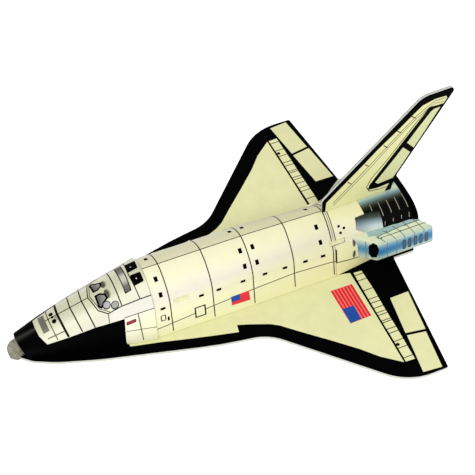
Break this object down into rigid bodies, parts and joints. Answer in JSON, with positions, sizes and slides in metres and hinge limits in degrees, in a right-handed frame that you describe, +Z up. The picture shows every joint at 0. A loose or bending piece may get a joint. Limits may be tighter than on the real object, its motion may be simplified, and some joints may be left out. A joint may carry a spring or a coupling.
{
  "type": "foam board model spaceplane",
  "caption": "Slot-together foam-board model of a delta-winged orbiter: bent body skins, tail fin and two side pods on a flat base board.",
  "frame": {"origin": "centre of the model's plan on the surface it lies on, midway between the nose and the fin's rear corner", "axes": "+Z up, -Y towards the nose, +X towards the model's left wing"},
  "size_m": [0.2072, 0.267, 0.1098],
  "materials": {
    "wing_print": "satin printed film on foam board, cream with black edges",
    "nose_print": "satin printed film on foam board, black with a cream top",
    "body_print": "satin printed film on foam board, pale cream with thin dark lines",
    "pod_print": "satin printed film on foam board, cream and pale blue",
    "dark_print": "satin printed film on foam board, dark",
    "bare_foam": "bare matt foam"
  },
  "bodies": {
    "root": {"base_plate": "wing_print", "nose_skin": "nose_print", "nose_plug": "bare_foam", "mid_skin": "body_print", "aft_skin": "body_print", "inner_deck": "bare_foam", "rear_bulkhead": "dark_print", "tail_fin": "wing_print", "left_pod": "pod_print", "right_pod": "pod_print"}
  },
  "joints": []
}
